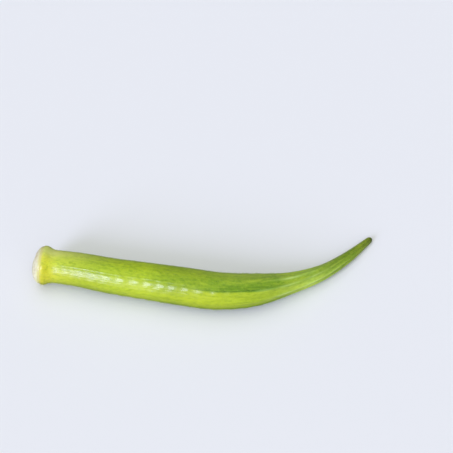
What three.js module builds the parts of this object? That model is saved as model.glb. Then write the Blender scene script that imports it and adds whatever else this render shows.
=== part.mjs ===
// An okra pod, trimmed at the cap and lying on its side. Millimetres, +Z up, resting on z = 0.
// The cut cap end is at -X, the tip of the tail at +X, and the pod bows towards -Y.
// It grew as one piece, so it is one closed body: cut scar, flared cap, ridged wall and tail.
import * as THREE from "three";

// Stations evenly spaced from the cut to the tip. x, y and z place the centreline; radius is taken
// over the ridges; groove is how far the wall sinks between two ridges.
const STATIONS = [
  { x: -78.0, y: 0.3, z: 8.8, radius: 7.7, groove: 0.1 },
  { x: -61.5, y: -2.2, z: 8.6, radius: 8.0, groove: 0.14 },
  { x: -45.0, y: -5.9, z: 8.4, radius: 8.4, groove: 0.18 },
  { x: -28.0, y: -9.1, z: 8.4, radius: 8.7, groove: 0.22 },
  { x: -11.0, y: -12.4, z: 8.6, radius: 9.0, groove: 0.28 },
  { x: 6.0, y: -14.9, z: 8.4, radius: 8.8, groove: 0.36 },
  { x: 22.8, y: -13.6, z: 8.0, radius: 7.75, groove: 0.48 },
  { x: 39.0, y: -8.2, z: 6.3, radius: 5.3, groove: 0.5 },
  { x: 54.2, y: -0.3, z: 4.5, radius: 3.8, groove: 0.42 },
  { x: 67.0, y: 10.6, z: 3.0, radius: 2.75, groove: 0.3 },
  { x: 79.0, y: 23.8, z: 1.3, radius: 1.5, groove: 0.12 },
];

const RIDGES = 9;
const RIDGE_TURN = THREE.MathUtils.degToRad(7); // the top ridge leans this far to the front

// Over the tail, between these two shares of the length, the ridges wind to the back.
const TAIL_WIND = THREE.MathUtils.degToRad(-25);
const WIND_START = 0.68;
const WIND_END = 0.88;

// The cap flares where the leaves of the flower once sat, close behind the cut.
const FLARE = 1.6;
const FLARE_CENTRE = 1.6;
const FLARE_WIDTH = 2.7;

// The cap was pared at a slight slant, so the scar looks a little up and to the front. The stalk
// stood off the middle of the cap, towards STALK_SIDE.
const CUT_TILT = THREE.MathUtils.degToRad(6);
const CUT_FACES = THREE.MathUtils.degToRad(40); // from straight up, towards the front
const CUT_REACH = 14; // how far along the pod the slant fades out
const STALK_OFFSET = 1.4;
const STALK_SIDE = THREE.MathUtils.degToRad(120); // from straight up, towards the front

// The ends, from the edge to the middle: share of the edge's radius, and height over the edge.
// The pared scar is a low dome up to the cut stalk, and the tip is a blunt round end.
const SCAR = [
  { share: 0.985, height: 0.45 },
  { share: 0.94, height: 1.1 },
  { share: 0.84, height: 1.9 },
  { share: 0.68, height: 2.6 },
  { share: 0.46, height: 3.2 },
  { share: 0.4, height: 3.35 },
  { share: 0.2, height: 3.5 },
  { share: 0, height: 3.6 },
];
const TIP = [
  { share: 0.92, height: 0.6 },
  { share: 0.7, height: 1.1 },
  { share: 0.4, height: 1.4 },
  { share: 0, height: 1.5 },
];

// Mesh density. Rings crowd together towards both ends, where the shape changes fastest.
const SEGMENTS = 54;
const RINGS = 64;
const CROWDING = 0.7;

// A smooth curve through one value triple of every station.
const through = (pick) =>
  new THREE.CatmullRomCurve3(
    STATIONS.map((station) => new THREE.Vector3(...pick(station))),
    false,
    "catmullrom",
    0.5,
  );
const centreline = through((s) => [s.x, s.y, s.z]);
const girth = through((s) => [s.radius, s.groove, 0]);
const cutCentre = centreline.getPoint(0);

// The place and the directions of the cross-section at t, from 0 at the cut to 1 at the tip.
function sectionFrame(t) {
  const centre = centreline.getPoint(t);
  const along = centreline.getTangent(t);
  const front = new THREE.Vector3().crossVectors(along, new THREE.Vector3(0, 0, 1)).normalize();
  const up = new THREE.Vector3().crossVectors(front, along);
  return { centre, along, front, up };
}

// One ring of points round the wall, from the top ridge on. Angle 0 is the top, and it grows towards
// the front.
function wallRing(t) {
  const { centre, along, front, up } = sectionFrame(t);
  const { x: radius, y: groove } = girth.getPoint(t);
  const fromCut = centre.distanceTo(cutCentre);
  const crest = radius + FLARE * Math.exp(-(((fromCut - FLARE_CENTRE) / FLARE_WIDTH) ** 2));
  const slant = Math.tan(CUT_TILT) * Math.max(0, 1 - fromCut / CUT_REACH);
  const turn = RIDGE_TURN + TAIL_WIND * THREE.MathUtils.smoothstep(t, WIND_START, WIND_END);
  return Array.from({ length: SEGMENTS }, (_, i) => {
    const fromRidge = (i / SEGMENTS) * 2 * Math.PI;
    const angle = turn + fromRidge;
    const ridge = 0.5 + 0.5 * Math.cos(RIDGES * fromRidge);
    const reach = crest - groove * (1 - ridge);
    return centre
      .clone()
      .addScaledVector(up, reach * Math.cos(angle))
      .addScaledVector(front, reach * Math.sin(angle))
      .addScaledVector(along, slant * reach * Math.cos(angle - CUT_FACES));
  });
}

// The rings that close an end, from its edge inwards, with the middle moved by offset. The last one
// has shrunk to a point.
function endRings(profile, edge, centre, outward, offset) {
  return profile.map(({ share, height }) =>
    edge.map((point) =>
      point
        .clone()
        .lerp(centre, 1 - share)
        .addScaledVector(outward, height)
        .addScaledVector(offset, 1 - share ** 2),
    ),
  );
}

// A closed skin over rings in order, of which the first and the last are points.
function closedSkin(allRings) {
  const rings = allRings.slice(1, -1);
  const points = [allRings[0][0], ...rings.flat(), allRings.at(-1)[0]];
  const faces = [];
  const at = (ring, segment) => 1 + ring * SEGMENTS + (segment % SEGMENTS);
  for (let i = 0; i < SEGMENTS; i++) {
    faces.push(0, at(0, i + 1), at(0, i));
    for (let ring = 0; ring < rings.length - 1; ring++) {
      faces.push(at(ring, i), at(ring + 1, i + 1), at(ring + 1, i));
      faces.push(at(ring, i), at(ring, i + 1), at(ring + 1, i + 1));
    }
    faces.push(at(rings.length - 1, i), at(rings.length - 1, i + 1), points.length - 1);
  }
  // The pod presses a narrow flat on the surface that it lies on.
  points.forEach((point) => point.setZ(Math.max(point.z, 0)));
  return new THREE.BufferGeometry().setFromPoints(points).setIndex(faces);
}

function podGeometry() {
  const wall = Array.from({ length: RINGS }, (_, i) => {
    const u = i / (RINGS - 1);
    return wallRing(u - (CROWDING * Math.sin(2 * Math.PI * u)) / (2 * Math.PI));
  });
  const cut = sectionFrame(0);
  const scarFaces = cut.along
    .clone()
    .multiplyScalar(-Math.cos(CUT_TILT))
    .addScaledVector(cut.up, Math.sin(CUT_TILT) * Math.cos(CUT_FACES))
    .addScaledVector(cut.front, Math.sin(CUT_TILT) * Math.sin(CUT_FACES));
  const stalkOffset = cut.up
    .clone()
    .multiplyScalar(STALK_OFFSET * Math.cos(STALK_SIDE))
    .addScaledVector(cut.front, STALK_OFFSET * Math.sin(STALK_SIDE));
  const tip = sectionFrame(1);
  const skin = closedSkin([
    ...endRings(SCAR, wall[0], cut.centre, scarFaces, stalkOffset).reverse(),
    ...wall,
    ...endRings(TIP, wall.at(-1), tip.centre, tip.along, new THREE.Vector3()),
  ]);
  // The origin goes under the middle of the pod's own box.
  skin.computeBoundingBox();
  const middle = skin.boundingBox.getCenter(new THREE.Vector3());
  skin.translate(-middle.x, -middle.y, -skin.boundingBox.min.z);
  skin.computeVertexNormals();
  return skin;
}

const pod = new THREE.Mesh(
  podGeometry(),
  new THREE.MeshStandardMaterial({ color: 0x9cb83c, roughness: 0.5, metalness: 0 }),
);
pod.name = "okra_pod";

const okra = new THREE.Group();
okra.add(pod);

export default okra;
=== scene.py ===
"""An okra pod, picked and trimmed at the cap, lying on its side on a plain pale floor.

It grew as one piece, so its outside is one closed skin: pared scar, flared cap, ridged wall and tail.
The short down that covers it is real geometry too, rooted in that skin. Sizes are in millimetres
and turn to metres where a mesh is made. A distance is taken along the centreline, from the cut.
"""
import math

import bpy
import numpy as np
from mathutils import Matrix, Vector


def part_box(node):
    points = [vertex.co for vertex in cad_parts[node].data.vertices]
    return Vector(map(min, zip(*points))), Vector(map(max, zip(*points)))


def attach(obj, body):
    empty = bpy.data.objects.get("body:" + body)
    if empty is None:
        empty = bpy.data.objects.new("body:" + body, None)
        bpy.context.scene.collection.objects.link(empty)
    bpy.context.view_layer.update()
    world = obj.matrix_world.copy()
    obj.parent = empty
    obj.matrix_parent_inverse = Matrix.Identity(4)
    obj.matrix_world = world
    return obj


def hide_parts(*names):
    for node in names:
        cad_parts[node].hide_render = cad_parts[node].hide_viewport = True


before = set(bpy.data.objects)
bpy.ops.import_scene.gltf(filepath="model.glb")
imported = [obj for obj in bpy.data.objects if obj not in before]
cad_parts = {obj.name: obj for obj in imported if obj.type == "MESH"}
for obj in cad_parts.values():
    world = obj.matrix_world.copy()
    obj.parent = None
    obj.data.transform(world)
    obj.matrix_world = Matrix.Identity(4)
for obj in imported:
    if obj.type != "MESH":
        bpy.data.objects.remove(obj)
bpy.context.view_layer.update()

MM = 0.001
DEG = math.pi / 180
TURN = 2 * math.pi
dice = np.random.default_rng(8)

# ---------------------------------------------------------------- the pod's shape

# Stations evenly spaced from the cut to the tip: x, y and z of the centreline, radius over the
# ridges, and how far the wall sinks between two ridges.
STATIONS = np.array([
    (-78.0, 0.3, 8.8, 7.7, 0.1),
    (-61.5, -2.2, 8.6, 8.0, 0.14),
    (-45.0, -5.9, 8.4, 8.4, 0.18),
    (-28.0, -9.1, 8.4, 8.7, 0.22),
    (-11.0, -12.4, 8.6, 9.0, 0.28),
    (6.0, -14.9, 8.4, 8.8, 0.36),
    (22.8, -13.6, 8.0, 7.75, 0.48),
    (39.0, -8.2, 6.3, 5.3, 0.5),
    (54.2, -0.3, 4.5, 3.8, 0.42),
    (67.0, 10.6, 3.0, 2.75, 0.3),
    (79.0, 23.8, 1.3, 1.5, 0.12),
])

# Rings crowd together towards both ends, where the shape changes fastest. Over each end they stop
# just short of its middle, at a small share of its radius, and a fan closes what is left.
RINGS, SEGMENTS = 350, 252
SCAR_RINGS, TIP_RINGS = 29, 9
CROWDING = 0.5
SMALLEST_SCAR_RING, SMALLEST_TIP_RING = 0.01, 0.03

# Angles round the pod are counted from straight up towards the front, or from the crest of the top
# ridge. The ridges wind to the back over the tail, between two shares of the length.
RIDGES = 9
RIDGE_SPACING = TURN / RIDGES
TOP_RIDGE = 7 * DEG
TAIL_WIND = -25 * DEG
WIND_START, WIND_END = 0.68, 0.88

# The cap flares where the flower's leaves once sat, and its end was pared at a slight slant.
FLARE, FLARE_CENTRE, FLARE_WIDTH = 1.6, 1.6, 2.7
CUT_TILT, CUT_FACES = 6 * DEG, 40 * DEG
CUT_REACH = 14.0

# The ends are domes: height, how flat the top is and how steep the edge.
SCAR_DOME = (3.6, 2.6, 0.55)
TIP_DOME = (1.5, 2.2, 0.6)
# The stalk that was cut off stood a little to one side of the scar's middle. Its stub still stands
# proud, with a step between two shares of the scar's radius, and so do torn fibres round it.
STALK_OFFSET, STALK_SIDE = 1.4, 120 * DEG
STUB_RISE, STUB_STEP = 0.2, (0.47, 0.39)
TORN_RISE, TORN_REACH, TORN_EVENNESS = 0.1, 9, 6

# From here on, (start, full from, full to, end) is a stretch of the pod, (middle, length, amount) a
# patch of it, (start, end, amount) a ramp, and (height, length) a wave, of which several add up to a
# wander. A list of nine numbers has one for each ridge: the first is on top, and the rest follow
# round the front.

# On the body each ridge has grown to its own share of the full height. It reaches its share on the
# tail at its own distance. The tail's crests are sharper.
RIDGE_GROWTH = np.array([0.2, 0.1, 0.4, 0.9, 1.0, 0.8, 1.0, 0.7, 0.3])
TAIL_GROWTH = np.array([0.45, 0.85, 0.9, 1.0, 1.0, 1.0, 1.0, 0.9, 0.6])
RIDGE_FULL = np.array([128, 110, 125, 110, 100, 110, 100, 115, 130])
RIDGE_CHANGES_OVER = 40
TAIL_SHARPNESS = (85, 130, 0.7)

# Seeds lie in a row under each ridge and swell the wall over them, some rows more than others. Each
# row starts at its own share of the pitch and drifts a little.
SEED_PITCH, SEED_RISE = 6.3, 0.27
SEED_STRETCH = (14, 50, 90, 130)
SEED_GROWTH = np.array([0.7, 1.05, 0.45, 0.4, 0.6, 0.8, 0.7, 0.6, 0.35])
SEED_START = np.array([0.9, 0.43, 0.62, 0.4, 0.85, 0.3, 0.15, 0.7, 0.5])
SEED_DRIFT, DRIFT_LENGTH, DRIFT_START = 0.12, 14, 40
# A seed's swell is a little narrower than the wave of the pitch, along the row and across it.
SEED_NARROW_ALONG, SEED_NARROW_ACROSS = 1.1, 1.3
LATE_SEEDS = (47, 14, 0.2)
SMALL_SEEDS = (67, 11, -0.28)
LARGE_SEEDS = (84, 8, 0.18)

# Veins run the whole length, and draw together as the pod narrows. Three sets of them cross at
# slight angles: how many, height, drift and phase. A stronger vein runs beside each ridge.
VEIN_RISE = 0.02
VEIN_SETS = ((38, 0.5, 3, 0), (29, 0.4, -5, 1), (49, 0.3, 4, 2))
VEIN_WANDER = ((0.25, 23), (0.1, 7.1))
SIDE_VEIN, SIDE_VEIN_WIDTH, SIDE_VEIN_RISE = -13 * DEG, 2.4 * DEG, 0.05
SIDE_VEIN_STRETCH = (8, 20, 72, 90)
SIDE_VEIN_WANDER = ((0.01, 3.7),)

# Random unevenness is many swells on top of each other: how many, the range of their lengths, and
# the range of how many waves one has round the pod. The pleats are only on the cap.
TORN_SWELLS = (12, (1.5, 5), (-26, 27))
LUMP_RISE, LUMP_SWELLS = 0.08, (9, (14, 46), (-4, 5))
DIMPLE_RISE, DIMPLE_SWELLS = 0.12, (14, (3.5, 9), (-15, 16))
PLEAT_RISE, PLEAT_SWELLS = 0.07, (7, (12, 40), (7, 24))
PLEATED_CAP = 7

# The side that the pod lay on while it grew is flatter near the cap.
FLAT_AT, FLAT_WIDTH, FLAT_DEPTH = 47 * DEG, 20 * DEG, 0.24
FLAT_STRETCH = (-1, 6, 44, 86)

# ---------------------------------------------------------------- where the finish changes

# For the finish, angles from straight up run from here to the front and on round to here again.
BACK = -60 * DEG

# One side, the front, is paler and yellower: partly its own colour and partly painted light, where
# the lamp falls on it. Its edge winds with the ridges and is dented in two places. It is soft by the
# cap, sharp along a ridge further on, and soft again on the tail, where the pale side narrows. On
# the other side the paler colour fades out under the pod.
PALE_LIT_EDGE = 47 * DEG
PALE_LIT_DENTS = ((106, 12, 2.5 * DEG), (123, 9, 8 * DEG))
PALE_LIT_NARROWS = (115, 140, 13 * DEG)
PALE_LIT_SOFTNESS = 17 * DEG
PALE_LIT_SHARPENS = (66, 86, -14.5 * DEG)
PALE_LIT_SOFTENS = (112, 130, 10 * DEG)
PALE_LIT_ENDS = (96 * DEG, 150 * DEG)
PALE_LIT_WANDER = ((1.2 * DEG, 8.3), (0.8 * DEG, 3.1))

# Painted shade: a thin dark line runs behind the crest of some ridges, in a wider and fainter dark
# band, as a fine groove and a hollow there would shade.
LINE_SHADE_ROWS = (1, 4, 6)
LINE_SHADE_SIDE, LINE_SHADE_WIDTH, LINE_SHADE_DEPTH = -4 * DEG, 1.5 * DEG, 0.7
LINE_SHADE_STRETCH = (64, 86, 108, 124)
BAND_SHADE_SIDE, BAND_SHADE_WIDTH, BAND_SHADE_DEPTH = -11 * DEG, 8 * DEG, 0.18
BAND_SHADE_STRETCH = (80, 96, 108, 124)

# Pale strokes run along the crests of the tail, from one distance to another: partly the crests' own
# paler colour and partly painted highlight. The top one lies a little to the front of its crest.
PALE_LIT_STROKE_START = np.array([106, 98, 102, 104, 120, 98, 110, 102, 112])
PALE_LIT_STROKE_END = np.array([138, 148, 150, 150, 138, 144, 136, 148, 140])
PALE_LIT_STROKE_GROWTH = np.array([0.7, 0.5, 0.8, 0.6, 0.5, 0.65, 0.4, 0.6, 0.4])
PALE_LIT_STROKE_WIDTH, TOP_PALE_LIT_STROKE_SHIFT = 5 * DEG, 7 * DEG
PALE_LIT_STROKES_START_OVER, PALE_LIT_STROKES_END_OVER = 12, 16
STROKE_MEAN, STROKE_DEPTH, STROKE_LENGTH = 0.8, 0.4, 2.3

# The underside is painted a little darker and yellower than the sides, up to the tail: painted shade.
UNDERSIDE_SHADE_STARTS, UNDERSIDE_SHADE_ENDS = (98 * DEG, 124 * DEG), (220 * DEG, 260 * DEG)
UNDERSIDE_SHADE_FADES = (105, 125)

# A pale bloom lies on the upper back of the cap, and faintly again before the tail; part of its
# paleness is painted light there. The paler lip of the cap is a painted glow, as of light through it.
BLOOM_LIGHT_SIDE, BLOOM_LIGHT_WIDTH = -22 * DEG, 26 * DEG
CAP_BLOOM_LIGHT = (6, 18, 0.75)
FAR_BLOOM_LIGHT = (100, 22, 0.2)
LIP_GLOW_SIDE, LIP_GLOW_WIDTH = -12 * DEG, 20 * DEG
LIP_GLOW = (3, 6, 0.6)

# The pared edge of the skin has faded over this width. A little inside it the scar has dried in
# flecks, most of all on its upper back.
FADED_EDGE = 0.8
SCAR_RADIUS = 7
DRIED_INSIDE, DRIED_WIDTH, DRIED_LEAST = 1.1, 0.6, 0.25
DRIED_FROM, DRIED_TO = (-80 * DEG, -45 * DEG), (-5 * DEG, 20 * DEG)
# Fibres fan out over the scar, drawn out by its radius over this.
FAN_LENGTH = 3

# ---------------------------------------------------------------- the skin as rings of points


def smooth(start, end, x):
    """0 before the start, 1 after the end, and an even turn between them."""
    share = np.clip((x - start) / (end - start), 0, 1)
    return share * share * (3 - 2 * share)


def bell(x, width):
    return np.exp(-((x / width) ** 2))


def stretch(distance, start, full_from, full_to, end):
    """1 over a stretch of the pod and 0 away from it."""
    return smooth(start, full_from, distance) * (1 - smooth(full_to, end, distance))


def patch(distance, middle, length, amount):
    """A change by an amount round one place."""
    return amount * bell(distance - middle, length)


def ramp(distance, start, end, amount):
    """A change by an amount from one place to another, which then stays."""
    return amount * smooth(start, end, distance)


def wander(distance, waves):
    """How far something strays to and fro on its way along the pod."""
    return sum(height * np.sin(distance / length) for height, length in waves)


def unit(vectors):
    return vectors / np.linalg.norm(vectors, axis=-1, keepdims=True)


class Spine:
    """The centreline at each t, from 0 at the cut to 1 at the tip, and the cross-section there."""

    def __init__(self, t):
        spans = len(STATIONS) - 1
        padded = np.vstack([2 * STATIONS[0] - STATIONS[1], STATIONS, 2 * STATIONS[-1] - STATIONS[-2]])
        i = np.minimum((t * spans).astype(int), spans - 1)
        w = (t * spans - i)[:, None]
        a, b, c, d = (padded[i + k] for k in range(4))
        # A Catmull-Rom curve runs through every station.
        cubic, square, line = 3 * b - a - 3 * c + d, 2 * a - 5 * b + 4 * c - d, c - a
        value = b + 0.5 * (line * w + square * w**2 + cubic * w**3)
        slope = 0.5 * (line + 2 * square * w + 3 * cubic * w**2)
        self.centre, self.radius, self.groove = value[:, :3], value[:, 3], value[:, 4]
        self.along = unit(slope[:, :3])
        self.front = unit(np.cross(self.along, (0, 0, 1)))
        self.up = np.cross(self.front, self.along)
        self.wind = TAIL_WIND * smooth(WIND_START, WIND_END, t)
        steps = np.linalg.norm(np.diff(self.centre, axis=0), axis=1)
        self.distance = np.concatenate([[0], np.cumsum(steps)])
        from_cut = np.linalg.norm(self.centre - STATIONS[0, :3], axis=1)
        self.crest = self.radius + FLARE * bell(from_cut - FLARE_CENTRE, FLARE_WIDTH)
        self.slant = math.tan(CUT_TILT) * np.maximum(0, 1 - from_cut / CUT_REACH)

    def side_of_cut(self, angle):
        """The direction out of the cut end's cross-section at an angle from straight up."""
        return self.up[0] * math.cos(angle) + self.front[0] * math.sin(angle)


def swells(distance, around, count, lengths, turns):
    """Gentle random swells over the wall, from -1 to 1, which join up all the way round the pod."""
    total = 0
    for _ in range(count):
        length, phase = dice.uniform(*lengths), dice.uniform(0, TURN)
        total = total + np.sin(TURN * distance / length + dice.integers(*turns) * around + phase)
    return total / count


def row_at(around):
    """The number of the nearest ridge."""
    return np.round(around * RIDGES / TURN).astype(int) % RIDGES


def side_at(around):
    """The angle from the nearest ridge's crest. In front of the crest it is above 0."""
    return (around + RIDGE_SPACING / 2) % RIDGE_SPACING - RIDGE_SPACING / 2


def crest_at(around):
    """1 on each crest and 0 halfway between two."""
    return 0.5 + 0.5 * np.cos(RIDGES * around)


def ridge_at(distance, around):
    """1 on the crest of a full ridge and 0 in the groove between two."""
    row = row_at(around)
    grown = smooth(RIDGE_FULL[row] - RIDGE_CHANGES_OVER, RIDGE_FULL[row], distance)
    growth = RIDGE_GROWTH[row] * (1 - grown) + TAIL_GROWTH[row] * grown
    return growth * crest_at(around) ** (1 + ramp(distance, *TAIL_SHARPNESS))


def seed_at(distance, around):
    """1 over the middle of a full seed and 0 away from it."""
    row = row_at(around)
    drift = SEED_DRIFT * np.sin((distance - DRIFT_START) / DRIFT_LENGTH + 2 * (row - 1))
    drift = drift + patch(distance, *LATE_SEEDS)
    beat = 0.5 + 0.5 * np.cos(TURN * (distance / SEED_PITCH - SEED_START[row] - drift))
    filled = 1 + patch(distance, *SMALL_SEEDS) + patch(distance, *LARGE_SEEDS)
    filled = filled * stretch(distance, *SEED_STRETCH) * SEED_GROWTH[row]
    return beat**SEED_NARROW_ALONG * crest_at(around) ** SEED_NARROW_ACROSS * filled


def vein_at(distance, around):
    """The fine veins, from -1.2 to 1.2."""
    stray = wander(distance, VEIN_WANDER)
    veins = (
        height * np.cos(count * around + drift * stray + phase)
        for count, height, drift, phase in VEIN_SETS
    )
    return sum(veins)


def side_vein_at(distance, around):
    beside = side_at(around) - SIDE_VEIN + wander(distance, SIDE_VEIN_WANDER)
    return bell(beside, SIDE_VEIN_WIDTH) * stretch(distance, *SIDE_VEIN_STRETCH)


def wall_reach(spine, distance, around, angle):
    """How far the wall stands from the centreline."""
    slim = (spine.radius / STATIONS[:, 3].max())[:, None]
    flat = bell(angle - FLAT_AT, FLAT_WIDTH) * stretch(distance, *FLAT_STRETCH)
    return (
        spine.crest[:, None]
        - spine.groove[:, None] * (1 - ridge_at(distance, around))
        + SEED_RISE * seed_at(distance, around)
        + VEIN_RISE * slim * vein_at(distance, around)
        + SIDE_VEIN_RISE * side_vein_at(distance, around)
        + LUMP_RISE * slim * swells(distance, around, *LUMP_SWELLS)
        + DIMPLE_RISE * slim * swells(distance, around, *DIMPLE_SWELLS)
        + PLEAT_RISE * bell(distance, PLEATED_CAP) * swells(distance, around, *PLEAT_SWELLS)
        - FLAT_DEPTH * flat
    )


def dome_rise(share, height, flat_top, steep_edge):
    """The height of a dome over its edge, at a share of the edge's radius."""
    return height * (1 - share**flat_top) ** steep_edge


def scar_rise(share, around):
    """The height of the scar over its edge: the dome, the stalk's stub and torn fibres."""
    torn = swells(share * TORN_REACH, around, *TORN_SWELLS) * (1 - share**TORN_EVENNESS)
    return dome_rise(share, *SCAR_DOME) + STUB_RISE * smooth(*STUB_STEP, share) + TORN_RISE * torn


def pale_lit_side_at(wind, distance, front_angle):
    """1 on the paler front side, partly own colour and partly painted light, 0 on the green upper side."""
    edge = PALE_LIT_EDGE + wind + wander(distance, PALE_LIT_WANDER) + ramp(distance, *PALE_LIT_NARROWS)
    for dent in PALE_LIT_DENTS:
        edge = edge + patch(distance, *dent)
    softness = PALE_LIT_SOFTNESS + ramp(distance, *PALE_LIT_SHARPENS) + ramp(distance, *PALE_LIT_SOFTENS)
    pale_lit = smooth(edge - softness, edge + softness, front_angle)
    return pale_lit * (1 - smooth(*PALE_LIT_ENDS, front_angle))


def crest_shade_at(distance, around):
    """How dark the painted shade is along a fine line and a wider band beside some crests."""
    side = side_at(around)
    crest_shade = LINE_SHADE_DEPTH * bell(side - LINE_SHADE_SIDE, LINE_SHADE_WIDTH) * stretch(distance, *LINE_SHADE_STRETCH)
    hollow = BAND_SHADE_DEPTH * bell(side - BAND_SHADE_SIDE, BAND_SHADE_WIDTH) * stretch(distance, *BAND_SHADE_STRETCH)
    return (crest_shade + hollow) * np.isin(row_at(around), LINE_SHADE_ROWS)


def pale_lit_stroke_at(distance, around):
    """How pale the skin is painted along a crest, in short strokes: partly own colour, partly painted
    highlight.
    """
    row = row_at(around)
    start, end = PALE_LIT_STROKE_START[row], PALE_LIT_STROKE_END[row]
    strokes = STROKE_MEAN + STROKE_DEPTH * np.sin(distance / STROKE_LENGTH + row)
    strokes = strokes * stretch(distance, start, start + PALE_LIT_STROKES_START_OVER, end - PALE_LIT_STROKES_END_OVER, end)
    on_crest = bell(side_at(around) - TOP_PALE_LIT_STROKE_SHIFT * (row == 0), PALE_LIT_STROKE_WIDTH)
    return np.clip(on_crest * PALE_LIT_STROKE_GROWTH[row] * strokes, 0, 1)


# Painted shade on the underside, up to the tail.
def underside_shade_at(distance, front_angle):
    below = smooth(*UNDERSIDE_SHADE_STARTS, front_angle) * (1 - smooth(*UNDERSIDE_SHADE_ENDS, front_angle))
    return below * (1 - smooth(*UNDERSIDE_SHADE_FADES, distance))


# A pale bloom that is partly painted light, and a painted glow on the lip.
def bloom_and_painted_light_at(distance, front_angle):
    bloom_and_painted_light = bell(front_angle - BLOOM_LIGHT_SIDE, BLOOM_LIGHT_WIDTH)
    bloom_and_painted_light = bloom_and_painted_light * (patch(distance, *CAP_BLOOM_LIGHT) + patch(distance, *FAR_BLOOM_LIGHT))
    lip = bell(front_angle - LIP_GLOW_SIDE, LIP_GLOW_WIDTH) * patch(distance, *LIP_GLOW)
    return np.clip(bloom_and_painted_light + lip, 0, 1)


def dried_at(share, front_angle):
    """How strong the dried flecks of the scar are."""
    upper_back = smooth(*DRIED_FROM, front_angle) * (1 - smooth(*DRIED_TO, front_angle))
    inside = (1 - share) * SCAR_RADIUS
    return bell(inside - DRIED_INSIDE, DRIED_WIDTH) * (DRIED_LEAST + (1 - DRIED_LEAST) * upper_back)


def unrolled(distance, radius, around):
    """A place beside a straight axis, so that a pattern follows the growth and not the bow."""
    distance, radius, around = np.broadcast_arrays(distance, radius, around)
    return np.stack([distance, radius * np.cos(around), radius * np.sin(around)], axis=-1)


def pod_rings():
    """Every point of the skin, (rings, segments, 3), and what the finish needs to know at each."""
    u = np.linspace(0, 1, RINGS)
    wall = u - CROWDING * np.sin(TURN * u) / TURN
    scar_share = np.sin(np.linspace(SMALLEST_SCAR_RING, 1, SCAR_RINGS, endpoint=False) * TURN / 4)
    tip_share = np.linspace(1, SMALLEST_TIP_RING, TIP_RINGS + 1)[1:]
    t = np.concatenate([np.zeros(SCAR_RINGS), wall, np.ones(TIP_RINGS)])
    share = np.concatenate([scar_share, np.ones(RINGS), tip_share])[:, None]
    on_scar = (np.arange(len(t)) < SCAR_RINGS)[:, None]
    on_tip = (np.arange(len(t)) >= SCAR_RINGS + RINGS)[:, None]
    spine = Spine(t)
    # around is counted from the top ridge and winds with it, and angle from straight up.
    around = np.linspace(0, TURN, SEGMENTS, endpoint=False)[None, :]
    angle = TOP_RIDGE + spine.wind[:, None] + around

    dome = on_scar * scar_rise(share, around) + on_tip * dome_rise(share, *TIP_DOME)
    distance = spine.distance[:, None] + np.where(on_scar, -dome, dome)
    reach = share * wall_reach(spine, distance, around, angle)
    out_up, out_front = reach * np.cos(angle), reach * np.sin(angle)
    lean = spine.slant[:, None] * reach * np.cos(angle - CUT_FACES)
    scar_faces = spine.side_of_cut(CUT_FACES) * math.sin(CUT_TILT) - spine.along[0] * math.cos(CUT_TILT)
    dome_faces = np.where(on_scar, scar_faces, spine.along[-1])
    off_middle = on_scar * STALK_OFFSET * (1 - share**2)
    points = (
        spine.centre[:, None]
        + out_up[..., None] * spine.up[:, None]
        + out_front[..., None] * spine.front[:, None]
        + lean[..., None] * spine.along[:, None]
        + dome[..., None] * dome_faces[:, None]
        + (off_middle * spine.side_of_cut(STALK_SIDE))[:, None]
    )
    # The pod presses a narrow flat on what it lies on.
    points[..., 2] = np.maximum(points[..., 2], 0)

    front_angle = (angle - BACK) % TURN + BACK
    marks = {
        "straight": unrolled(distance, reach, around),
        "ridge": ridge_at(distance, around),
        "pale_lit_side": pale_lit_side_at(spine.wind[:, None], distance, front_angle),
        "crest_shade": crest_shade_at(distance, around),
        "pale_lit_stroke": pale_lit_stroke_at(distance, around),
        "underside_shade": underside_shade_at(distance, front_angle),
        "bloom_and_painted_light": bloom_and_painted_light_at(distance, front_angle),
        "centre": np.broadcast_to(on_scar * (1 - share), reach.shape),
        "edge": bell(distance, FADED_EDGE),
        "dried": on_scar * dried_at(share, front_angle),
        "fan": unrolled(share * FAN_LENGTH, SCAR_RADIUS, around),
    }
    return spine, points, marks


def skin_faces(ring_count):
    """Quads between the rings, and a fan over each of the two ends. The fans' middles come last."""
    index = np.arange(ring_count * SEGMENTS).reshape(ring_count, SEGMENTS)
    right = np.roll(index, -1, axis=1)
    quads = np.stack([index[:-1], right[:-1], right[1:], index[1:]], axis=-1).reshape(-1, 4)
    first, last = ring_count * SEGMENTS, ring_count * SEGMENTS + 1
    start = [(first, int(b), int(a)) for a, b in zip(index[0], right[0])]
    end = [(int(a), int(b), last) for a, b in zip(index[-1], right[-1])]
    return start + quads.tolist() + end


def with_middles(rings):
    """A mark or the points of all rings in one list, with the middle of the first and last ring added."""
    middles = np.stack([rings[0].mean(axis=0), rings[-1].mean(axis=0)])
    return np.concatenate([rings.reshape(-1, *rings.shape[2:]), middles])


def mesh_piece(name, verts, faces, materials, marks=None, smooth_faces=True):
    """A named object in metres, with its marks kept as attributes for the material."""
    mesh = bpy.data.meshes.new(name)
    mesh.from_pydata((verts * MM).tolist(), [], faces)
    for mark, values in (marks or {}).items():
        kind, field = ("FLOAT_VECTOR", "vector") if values.ndim == 2 else ("FLOAT", "value")
        layer = mesh.attributes.new(mark, kind, "POINT")
        layer.data.foreach_set(field, values.astype(np.float32).ravel())
    mesh.polygons.foreach_set("use_smooth", [smooth_faces] * len(mesh.polygons))
    for material in materials:
        mesh.materials.append(material)
    mesh.update()
    piece = bpy.data.objects.new(name, mesh)
    bpy.context.scene.collection.objects.link(piece)
    return piece


# ---------------------------------------------------------------- finishes

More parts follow.
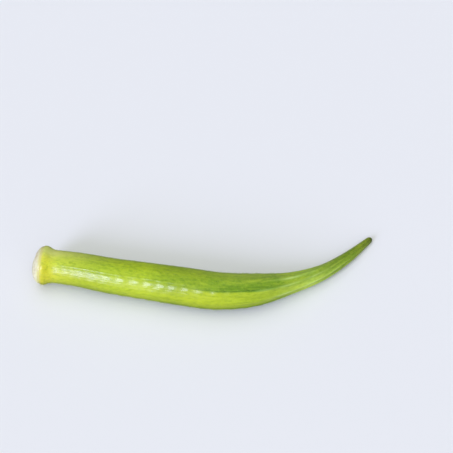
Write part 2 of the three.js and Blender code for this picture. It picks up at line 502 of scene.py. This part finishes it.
# Growth colours along the pod, as shares of its length. The upper side is green, and the front side
# is paler and yellower: partly its own colour and partly painted light, where the lamp falls on it.
# In both lists the stop at 0.022, on the flank of the flare that faces the tail, and the stretch from 0.7 to
# 0.82, on the tail, are painted lighter than the colours round them: painted light where the lamps leave them
# in shade.
UPPER_SIDE_GREENS = [
    (0.0, "#d4d036"),
    (0.022, "#d8dc2e"),
    (0.055, "#bdd032"),
    (0.14, "#a0ba1e"),
    (0.22, "#a8c21a"),
    (0.3, "#a5c114"),
    (0.37, "#89a813"),
    (0.45, "#86a812"),
    (0.58, "#6c980e"),
    (0.65, "#76a21c"),
    (0.7, "#8fb634"),
    (0.76, "#95ba3c"),
    (0.82, "#92b030"),
    (0.9, "#769410"),
    (0.98, "#566e14"),
    (1.0, "#38480e"),
]
PALE_LIT_GREENS = [
    (0.0, "#d4cc32"),
    (0.022, "#d6d42e"),
    (0.055, "#c6d034"),
    (0.14, "#a8bc24"),
    (0.22, "#b2c828"),
    (0.3, "#b6ca26"),
    (0.37, "#a8bc1c"),
    (0.45, "#b2c41a"),
    (0.58, "#a6bd1e"),
    (0.64, "#a3bd29"),
    (0.74, "#c0de5c"),
    (0.82, "#a0c03e"),
    (0.9, "#8aa828"),
    (0.98, "#687f1c"),
    (1.0, "#38480e"),
]
# How far crests and grooves differ in colour along the pod, from black for not at all. The paler
# crests are partly their own colour and partly painted highlight; the darker grooves are painted shade.
CREST_CONTRAST = [(0.64, "#000000"), (0.78, "#606060"), (0.86, "#c0c0c0"), (0.97, "#707070")]
# The scar's colours from its edge, at 0, to the middle of the stalk, at 1.
SCAR_CREAMS = [
    (0.04, "#d4d48e"),
    (0.1, "#dadab4"),
    (0.52, "#dcdbbe"),
    (0.61, "#c6c796"),
    (0.66, "#d3d0a6"),
    (0.76, "#dedcbc"),
    (0.92, "#d9d3b0"),
    (1.0, "#bdb68a"),
]

# The size of each pattern, as its cells to a millimetre. Three numbers are one along the pod and two
# across it, so that a low first number draws the pattern out.
STREAKS_PER_MM = (0.055, 0.9, 0.9)
CELLS_PER_MM = (0.45, 1.0, 1.0)
WRINKLES_PER_MM = (1.8, 0.6, 0.6)
CLOUDS_PER_MM, PORES_PER_MM, GRAINS_PER_MM, FIBRES_PER_MM = 0.07, 0.95, 2.4, 1.4
# How far a pattern goes where it is strongest: streaks on the body and on the tail, mottling on the
# upper side and on the paler front one, and the rest all over.
STREAKS_ON_BODY, STREAKS_ON_TAIL = 0.22, 0.42
MOTTLED_UPPER_SIDE, MOTTLED_PALE_LIT_SIDE = 0.72, 0.46
CLOUDED, PALE_LIT_CRESTS, PALE_PORES = 0.25, 0.35, 0.24
FIBROUS, RAYED, FLECKED = 0.4, 0.5, 0.9
# The depth of the skin's wrinkles and of the scar's fibres.
WRINKLE_DEPTH, FIBRE_DEPTH = 0.06, 0.12


def rgb(hex_colour):
    """An sRGB hex colour as linear RGBA."""
    channels = [int(hex_colour[i : i + 2], 16) / 255 for i in (1, 3, 5)]
    return [c / 12.92 if c <= 0.04045 else ((c + 0.055) / 1.055) ** 2.4 for c in channels] + [1.0]


def add(tree, kind, inputs=None, output=0, stops=None, **settings):
    """Adds a node with its settings, and gives one of its outputs. An input is a value or an output.

    A Map Range's inputs are 0, the value; 1 and 2, the range that it is taken over; and 3 and 4,
    what it gives at the two ends of that range."""
    node = tree.nodes.new(kind)
    for name, value in settings.items():
        setattr(node, name, value)
    for key, value in (inputs or {}).items():
        if isinstance(value, bpy.types.NodeSocket):
            tree.links.new(value, node.inputs[key])
        else:
            node.inputs[key].default_value = value
    if stops:
        band = node.color_ramp.elements
        while len(band) < len(stops):
            band.new(0.5)
        for element, (place, colour) in zip(band, stops):
            element.position = place
            element.color = rgb(colour)
    return node.outputs[output] if node.outputs else node


def new_material(name):
    material = bpy.data.materials.new(name)
    material.use_nodes = True
    tree = material.node_tree
    tree.nodes.clear()
    return material, tree


def layered(tree, colour, layers):
    """Lays colours over another one, each where its own mask says."""
    for mask, over, blend in layers:
        colour = add(
            tree,
            "ShaderNodeMix",
            {"Factor": mask, "A": colour, "B": rgb(over)},
            "Result",
            data_type="RGBA",
            blend_type=blend,
        )
    return colour


def okra_skin(length):
    """Living plant skin: a thin waxy cuticle over green flesh, which gives a soft, broken highlight.

    Yellow at the cap, where the flower's leaves kept the sun off it, and deeper green to the tail."""
    material, tree = new_material("okra_skin")
    straight = add(tree, "ShaderNodeAttribute", output="Vector", attribute_name="straight")
    ridge, pale_lit_side, crest_shade, pale_lit_stroke, underside_shade, bloom_and_painted_light, edge = (
        add(tree, "ShaderNodeAttribute", output="Fac", attribute_name=mark)
        for mark in ("ridge", "pale_lit_side", "crest_shade", "pale_lit_stroke", "underside_shade", "bloom_and_painted_light", "edge")
    )
    place = add(tree, "ShaderNodeSeparateXYZ", {0: straight})
    share = add(tree, "ShaderNodeMath", {0: place, 1: length}, operation="DIVIDE")
    upper_greens = add(tree, "ShaderNodeValToRGB", {0: share}, stops=UPPER_SIDE_GREENS)
    pale_lit = add(tree, "ShaderNodeValToRGB", {0: share}, stops=PALE_LIT_GREENS)
    # The upper side's greens, and the front side's paler ones, which are partly painted light.
    grown = {"Factor": pale_lit_side, "A": upper_greens, "B": pale_lit}
    colour = add(tree, "ShaderNodeMix", grown, "Result", data_type="RGBA")

    # Streaks in the flesh, about 1 mm wide and 15 to 20 mm long, and stronger on the tail.
    stretched = add(tree, "ShaderNodeVectorMath", {0: straight, 1: STREAKS_PER_MM}, operation="MULTIPLY")
    streak = add(tree, "ShaderNodeTexNoise", {"Vector": stretched, "Scale": 1.0, "Detail": 3.0})
    tailwards = {0: share, 1: 0.48, 2: 0.68, 3: STREAKS_ON_BODY, 4: STREAKS_ON_TAIL}
    streaked = add(tree, "ShaderNodeMapRange", tailwards)
    dark_streak = add(tree, "ShaderNodeMapRange", {0: streak, 1: 0.5, 2: 0.3, 3: 0.0, 4: streaked})
    light_streak = add(tree, "ShaderNodeMapRange", {0: streak, 1: 0.5, 2: 0.7, 3: 0.0, 4: streaked})
    # Clouds of deeper and yellower green, 10 to 20 mm across.
    cloud = add(tree, "ShaderNodeTexNoise", {"Vector": straight, "Scale": CLOUDS_PER_MM, "Detail": 2.0})
    yellow_cloud = add(tree, "ShaderNodeMapRange", {0: cloud, 1: 0.4, 2: 0.75, 3: 0.0, 4: CLOUDED})
    # Mottling of the cells under the skin, 1 mm wide and twice as long, stronger on the upper side. Its
    # light half is partly painted glints, on the same cells that raise the bumps.
    drawn_out = add(tree, "ShaderNodeVectorMath", {0: straight, 1: CELLS_PER_MM}, operation="MULTIPLY")
    cells = add(
        tree, "ShaderNodeTexNoise", {"Vector": drawn_out, "Scale": 1.0, "Detail": 4.0, "Roughness": 0.6}
    )
    mottled = add(tree, "ShaderNodeMapRange", {0: pale_lit_side, 3: MOTTLED_UPPER_SIDE, 4: MOTTLED_PALE_LIT_SIDE})
    dark_cells = add(tree, "ShaderNodeMapRange", {0: cells, 1: 0.52, 2: 0.32, 3: 0.0, 4: mottled})
    light_cells_and_glints = add(tree, "ShaderNodeMapRange", {0: cells, 1: 0.52, 2: 0.74, 3: 0.0, 4: mottled})
    # The crests are paler than the grooves on the tail: partly their own colour and partly painted
    # highlight. The grooves are darkened with painted shade.
    tail = add(tree, "ShaderNodeValToRGB", {0: share}, stops=CREST_CONTRAST)
    crest = add(tree, "ShaderNodeMapRange", {0: ridge, 1: 0.35, 2: 1.0, 3: 0.0, 4: PALE_LIT_CRESTS})
    pale_lit_crest = add(tree, "ShaderNodeMath", {0: crest, 1: tail}, operation="MULTIPLY")
    groove = add(tree, "ShaderNodeMapRange", {0: ridge, 1: 0.35, 2: 0.0})
    groove_shade = add(tree, "ShaderNodeMath", {0: groove, 1: tail}, operation="MULTIPLY")
    # Pale pores, where the down is rooted: 0.35 mm across, drawn coarser than the real 0.1 mm.
    pores = add(tree, "ShaderNodeTexVoronoi", {"Vector": straight, "Scale": PORES_PER_MM})
    pore = add(tree, "ShaderNodeMapRange", {0: pores, 1: 0.32, 2: 0.1, 3: 0.0, 4: PALE_PORES})
    layers = (
        (dark_streak, "#bdd0a4", "MULTIPLY"),
        (light_streak, "#c4d832", "MIX"),
        (yellow_cloud, "#bcc81e", "MIX"),
        (dark_cells, "#bcd090", "MULTIPLY"),
        # The light half of the mottling, partly painted glints.
        (light_cells_and_glints, "#465008", "ADD"),
        # Paler crests, partly painted highlight.
        (pale_lit_crest, "#a9c94e", "MIX"),
        # Grooves darkened with painted shade.
        (groove_shade, "#bfd39e", "MULTIPLY"),
        # Pale strokes on the tail's crests, partly painted highlight.
        (pale_lit_stroke, "#c2df78", "MIX"),
        # Painted shade behind some crests.
        (crest_shade, "#a4c078", "MULTIPLY"),
        # A pale bloom that is partly painted light, and a painted glow on the lip.
        (bloom_and_painted_light, "#dae276", "MIX"),
        (pore, "#c0d444", "MIX"),
        # Painted shade on the underside.
        (underside_shade, "#d2d878", "MULTIPLY"),
        (edge, "#d6d084", "MIX"),
    )

    # Fine wrinkles run round the pod, 0.5 mm apart, over the uneven cells and their finer grain.
    across = add(tree, "ShaderNodeVectorMath", {0: straight, 1: WRINKLES_PER_MM}, operation="MULTIPLY")
    wrinkle = add(tree, "ShaderNodeTexNoise", {"Vector": across, "Scale": 1.0, "Detail": 2.0})
    grain = add(tree, "ShaderNodeTexNoise", {"Vector": straight, "Scale": GRAINS_PER_MM, "Detail": 3.0})
    fine = add(tree, "ShaderNodeMath", {0: wrinkle, 1: grain}, operation="ADD")
    relief = add(tree, "ShaderNodeMath", {0: cells, 1: 2.5, 2: fine}, operation="MULTIPLY_ADD")
    bump = add(
        tree, "ShaderNodeBump", {"Height": relief, "Strength": 0.5, "Distance": WRINKLE_DEPTH * MM}, "Normal"
    )
    gloss = add(tree, "ShaderNodeMapRange", {0: grain, 1: 0.3, 2: 0.7, 3: 0.36, 4: 0.46})
    skin = add(
        tree,
        "ShaderNodeBsdfPrincipled",
        {
            "Base Color": layered(tree, colour, layers),
            "Roughness": gloss,
            "Normal": bump,
            "IOR": 1.4,
            "Sheen Weight": 0.2,
            "Sheen Roughness": 0.45,
            "Sheen Tint": rgb("#c8dc78"),
            "Coat Weight": 0.75,
            "Coat Roughness": 0.24,
            "Coat IOR": 1.5,
            "Coat Normal": bump,
            "Subsurface Weight": 0.12,
            "Subsurface Radius": (0.9, 1.3, 0.3),
            "Subsurface Scale": MM,
        },
    )
    add(tree, "ShaderNodeOutputMaterial", {"Surface": skin})
    return material


def pared_flesh():
    """Pared flesh and stalk fibre, drying in the air: cream, matt and slightly rough."""
    material, tree = new_material("pared_flesh")
    straight, fan = (
        add(tree, "ShaderNodeAttribute", output="Vector", attribute_name=mark) for mark in ("straight", "fan")
    )
    centre, dried = (
        add(tree, "ShaderNodeAttribute", output="Fac", attribute_name=mark) for mark in ("centre", "dried")
    )
    fibre = add(tree, "ShaderNodeTexNoise", {"Vector": straight, "Scale": FIBRES_PER_MM, "Detail": 5.0})
    # The rings of the stalk are a little ragged.
    ragged = add(tree, "ShaderNodeMath", {0: fibre, 1: 0.09, 2: centre}, operation="MULTIPLY_ADD")
    colour = add(tree, "ShaderNodeValToRGB", {0: ragged}, stops=SCAR_CREAMS)
    fibrous = add(tree, "ShaderNodeMapRange", {0: fibre, 1: 0.45, 2: 0.7, 3: 0.0, 4: FIBROUS})
    # Fibres fan out from the middle, 0.5 to 1 mm apart.
    ray = add(tree, "ShaderNodeTexNoise", {"Vector": fan, "Scale": 1.0, "Detail": 3.0})
    rayed = add(tree, "ShaderNodeMapRange", {0: ray, 1: 0.5, 2: 0.72, 3: 0.0, 4: RAYED})
    # Brown flecks, where the cut has dried.
    fleck = add(tree, "ShaderNodeMapRange", {0: ray, 1: 0.42, 2: 0.58, 3: 0.0, 4: FLECKED})
    flecked = add(tree, "ShaderNodeMath", {0: fleck, 1: dried}, operation="MULTIPLY")
    layers = ((fibrous, "#d4cb9c", "MIX"), (rayed, "#c9c491", "MIX"), (flecked, "#a58759", "MIX"))
    bump = add(
        tree, "ShaderNodeBump", {"Height": fibre, "Strength": 0.6, "Distance": FIBRE_DEPTH * MM}, "Normal"
    )
    flesh = add(
        tree,
        "ShaderNodeBsdfPrincipled",
        {
            "Base Color": layered(tree, colour, layers),
            "Roughness": 0.72,
            "Normal": bump,
            "IOR": 1.4,
            "Subsurface Weight": 0.2,
            "Subsurface Radius": (1.2, 1.0, 0.6),
            "Subsurface Scale": MM,
        },
    )
    add(tree, "ShaderNodeOutputMaterial", {"Surface": flesh})
    return material


def down_hair():
    """Plant hair: hollow, dry and pale, so that it softens the pod's outline."""
    material, tree = new_material("down_hair")
    hair = add(
        tree, "ShaderNodeBsdfPrincipled", {"Base Color": rgb("#b4c858"), "Roughness": 0.55, "IOR": 1.4}
    )
    add(tree, "ShaderNodeOutputMaterial", {"Surface": hair})
    return material


def pale_floor():
    """Matt painted board: no gloss, so that only the pod's soft shadow shows on it."""
    material, tree = new_material("pale_floor")
    board = add(tree, "ShaderNodeBsdfPrincipled", {"Base Color": rgb("#ebeeec"), "Roughness": 0.9})
    add(tree, "ShaderNodeOutputMaterial", {"Surface": board})
    return material


# ---------------------------------------------------------------- down

# A hair's radius at its root, and the share of it that is left at its knee.
HAIR_RADIUS, KNEE_TAPER = 0.015, 0.7
ROOT_DEPTH, FLOOR_GAP = 0.03, 0.02
# A hair leans to the tip, and from its knee on it bends further, each with its own scatter.
LEAN, LEAN_SCATTER, SIDE_SCATTER = 0.35, 0.3, 0.25
BEND, BEND_SCATTER = 0.35, 0.25
BELOW_KNEE, ABOVE_KNEE = 0.55, 0.45
# Hairs on a ridge are scattered off its crest by this share of the space between two.
CREST_SCATTER = 0.11
# No hair grows on the first and last few rings of the wall.
BARE_START, BARE_END = 3, 2
# The faces of one hair by the numbers of its seven corners: root 0 to 2, knee 3 to 5 and point 6.
HAIR_FACES = np.array([
    (0, 2, 1),
    (0, 1, 4), (0, 4, 3),
    (1, 2, 5), (1, 5, 4),
    (2, 0, 3), (2, 3, 5),
    (3, 4, 6), (4, 5, 6), (5, 3, 6),
])


def down(spine, points, count, lengths, on_ridges):
    """Closed three-sided hairs that stand on the wall and lean towards the tip."""
    wall = slice(SCAR_RINGS + BARE_START, SCAR_RINGS + RINGS - BARE_END)
    area = np.cumsum(np.diff(spine.distance[wall], prepend=0) * spine.radius[wall])
    ring = np.interp(dice.random(count), area / area[-1], np.arange(wall.start, wall.stop))
    if on_ridges:
        row = dice.integers(0, RIDGES, count)
        segment = (row + dice.normal(0, CREST_SCATTER, count)) * SEGMENTS / RIDGES % SEGMENTS
    else:
        segment = dice.uniform(0, SEGMENTS, count)
    i, j = ring.astype(int), segment.astype(int)
    a, b = (ring - i)[:, None], (segment - j)[:, None]
    near, far = j % SEGMENTS, (j + 1) % SEGMENTS
    here, ahead = points[i, near], points[i + 1, near]
    across = points[i, far] - here
    root = here + a * (ahead - here) + b * across
    along = unit(ahead - here)
    outward = unit(np.cross(across, ahead - here))
    aside = np.cross(along, outward)
    length = dice.uniform(*lengths, (count, 1))
    scatter = dice.normal(0, 1, (count, 3))
    lean = LEAN + LEAN_SCATTER * scatter[:, :1]
    way = unit(outward + lean * along + SIDE_SCATTER * scatter[:, 1:2] * aside)
    bend = unit(way + BEND * along + BEND_SCATTER * scatter[:, 2:] * aside)
    knee = root + way * length * BELOW_KNEE
    point = knee + bend * length * ABOVE_KNEE
    other = np.cross(way, aside)
    corners = [math.cos(turn) * aside + math.sin(turn) * other for turn in (0, TURN / 3, 2 * TURN / 3)]
    around_root = [root - ROOT_DEPTH * outward + HAIR_RADIUS * corner for corner in corners]
    around_knee = [knee + KNEE_TAPER * HAIR_RADIUS * corner for corner in corners]
    verts = np.stack(around_root + around_knee + [point], axis=1)
    # A hair that the surface under the pod would crush is left out.
    verts = verts[verts[..., 2].min(axis=1) > FLOOR_GAP]
    first_corner = verts.shape[1] * np.arange(len(verts))
    faces = (HAIR_FACES + first_corner[:, None, None]).reshape(-1, 3)
    return verts.reshape(-1, 3), faces.tolist()


# ---------------------------------------------------------------- the pieces

# Name, number of hairs, range of their lengths, and whether they grow on the ridges only.
DOWN = (
    ("ridge_down", 8000, (0.4, 0.85), True),
    ("wall_down", 15000, (0.25, 0.6), False),
)

spine, points, marks = pod_rings()
skin_verts = with_middles(points)
# The skin is centred over the plain solid that it stands for, and keeps its own height.
low, high = (np.array(corner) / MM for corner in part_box("okra_pod"))
onto_part = (low + high) / 2 - (skin_verts.min(axis=0) + skin_verts.max(axis=0)) / 2
onto_part[2] = 0
skin = mesh_piece(
    "okra_skin",
    skin_verts + onto_part,
    skin_faces(len(points)),
    [okra_skin(spine.distance[-1]), pared_flesh()],
    {name: with_middles(values) for name, values in marks.items()},
)
# The flesh ends two bands short of the wall, so that the skin wraps over the pared edge.
scar_faces = SEGMENTS * (SCAR_RINGS - 1)
finish = np.zeros(len(skin.data.polygons), dtype=np.int32)
finish[:scar_faces] = 1
skin.data.polygons.foreach_set("material_index", finish)
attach(skin, "root")
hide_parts("okra_pod")

hair_finish = down_hair()
for name, count, lengths, on_ridges in DOWN:
    verts, faces = down(spine, points, count, lengths, on_ridges)
    hairs = mesh_piece(name, verts + onto_part, faces, [hair_finish], smooth_faces=False)
    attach(hairs, "root")

# ---------------------------------------------------------------- floor, light and camera

FLOOR_HALF = 6.0
floor = mesh_piece(
    "studio_floor",
    np.array([(-1, -1, 0), (1, -1, 0), (1, 1, 0), (-1, 1, 0)]) * FLOOR_HALF / MM,
    [(0, 1, 2, 3)],
    [pale_floor()],
    smooth_faces=False,
)
# The board does not show in the pod's gloss, so that the gloss has no hard line at the board's edge.
floor.visible_glossy = False


def direction(azimuth, elevation):
    """Azimuth 0 is the front, and grows to the right. Both angles are in radians."""
    flat = math.cos(elevation)
    return np.array([math.sin(azimuth) * flat, -math.cos(azimuth) * flat, math.sin(elevation)])


def facing(back):
    """The turn that makes a lamp or camera look against a direction."""
    return (math.atan2(math.hypot(back[0], back[1]), back[2]), 0, math.atan2(back[0], -back[1]))


def soft_lamp(name, azimuth, elevation, spread, strength, colour="#ffffff", glints=False):
    """A far, soft lamp. A strength of 1 lights a white surface that faces it to full white.

    Only a lamp with glints shows in the gloss of a surface."""
    lamp = bpy.data.lights.new(name, "SUN")
    lamp.angle, lamp.energy, lamp.color = spread, strength * math.pi, rgb(colour)[:3]
    thing = bpy.data.objects.new(name, lamp)
    thing.visible_glossy = glints
    bpy.context.scene.collection.objects.link(thing)
    thing.rotation_euler = facing(direction(azimuth, elevation))


soft_lamp("key", -38 * DEG, 22 * DEG, spread=27 * DEG, strength=0.74, colour="#d8d6ff", glints=True)
soft_lamp("key_veil", 0, 35 * DEG, spread=70 * DEG, strength=0.24)
soft_lamp("top_fill", 0, 90 * DEG, spread=90 * DEG, strength=0.34)

# The room lights the pod evenly from all round. It is dimmer where the gloss mirrors it, and the
# wall that stands behind the pod is plain.
ROOM_COLOUR, WALL_COLOUR = rgb("#f7f9ff"), rgb("#e2e3e5")
ROOM_LIGHT, MIRRORED_ROOM, WALL_LIGHT = 0.33, 0.11, 1.0

world = bpy.data.worlds.new("studio")
world.use_nodes = True
tree = world.node_tree
tree.nodes.clear()
room = add(tree, "ShaderNodeBackground", {"Color": ROOM_COLOUR, "Strength": ROOM_LIGHT})
dim_room = add(tree, "ShaderNodeBackground", {"Color": ROOM_COLOUR, "Strength": MIRRORED_ROOM})
mirrored = add(tree, "ShaderNodeLightPath", output="Is Glossy Ray")
lit_room = add(tree, "ShaderNodeMixShader", {0: mirrored, 1: room, 2: dim_room})
wall = add(tree, "ShaderNodeBackground", {"Color": WALL_COLOUR, "Strength": WALL_LIGHT})
seen = add(tree, "ShaderNodeLightPath", output="Is Camera Ray")
studio = add(tree, "ShaderNodeMixShader", {0: seen, 1: lit_room, 2: wall})
add(tree, "ShaderNodeOutputWorld", {"Surface": studio})
bpy.context.scene.world = world
bpy.context.scene.view_settings.view_transform = "Standard"

# The view: from the front and nearly 47 degrees down, with a long lens. It sees far enough to take
# in the whole floor.
LENS, SENSOR = 95.0, 36.0
AZIMUTH, ELEVATION = 0.3 * DEG, 46.8 * DEG
VIEW_DISTANCE = 593.0
AIM = np.array([10.0, 32.9, 0.0])
SEES_TO = 20

camera_data = bpy.data.cameras.new("camera")
camera_data.lens, camera_data.sensor_width = LENS, SENSOR
camera_data.clip_end = SEES_TO
camera = bpy.data.objects.new("camera", camera_data)
bpy.context.scene.collection.objects.link(camera)
back = direction(AZIMUTH, ELEVATION)
camera.location = (AIM + back * VIEW_DISTANCE) * MM
camera.rotation_euler = facing(back)
bpy.context.scene.camera = camera
